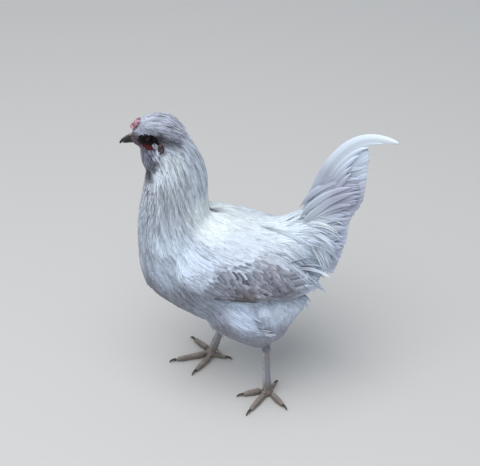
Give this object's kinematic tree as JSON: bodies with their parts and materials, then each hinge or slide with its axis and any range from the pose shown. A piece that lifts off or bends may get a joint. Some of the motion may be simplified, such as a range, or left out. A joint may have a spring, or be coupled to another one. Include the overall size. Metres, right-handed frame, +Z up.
{
  "type": "standing cockerel model",
  "caption": "Life-size standing cockerel in mid-step, with pea comb, muffs and beard, folded wings, upright tail with curved sickle feathers and clawed feet.",
  "frame": {"origin": "on the floor, under the middle of the bird's box", "axes": "+Z up, the bird faces -X, its left side is -Y"},
  "size_m": [0.3866, 0.182, 0.4765],
  "materials": {
    "plumage": "soft overlapping feathers, pale blue-grey",
    "crown_plumage": "soft short feathers, grey-lavender",
    "wing_plumage": "scalloped wing feathers, dusty mauve-grey",
    "leg_scale": "slate-grey scaly skin, dusted with mud",
    "beak_horn": "satin horn",
    "claw_horn": "satin horn",
    "red_skin": "matt pebbled skin",
    "eye": "wet gloss"
  },
  "bodies": {
    "root": {"beak_lower": "beak_horn", "beak_upper": "beak_horn", "claw_left_1": "claw_horn", "claw_left_2": "claw_horn", "claw_left_3": "claw_horn", "claw_left_4": "claw_horn", "claw_right_1": "claw_horn", "claw_right_2": "claw_horn", "claw_right_3": "claw_horn", "claw_right_4": "claw_horn", "comb": "red_skin", "earlobe_left": "red_skin", "earlobe_right": "red_skin", "eye_left": "eye", "eye_right": "eye", "head": "crown_plumage", "muffs": "crown_plumage", "neck": "plumage", "shank_left": "leg_scale", "shank_right": "leg_scale", "sickle_left": "plumage", "sickle_right": "plumage", "tail": "plumage", "thigh_left": "plumage", "thigh_right": "plumage", "toe_left_1": "leg_scale", "toe_left_2": "leg_scale", "toe_left_3": "leg_scale", "toe_left_4": "leg_scale", "toe_right_1": "leg_scale", "toe_right_2": "leg_scale", "toe_right_3": "leg_scale", "toe_right_4": "leg_scale", "trunk": "plumage", "wing_left": "wing_plumage", "wing_right": "wing_plumage"}
  },
  "joints": []
}
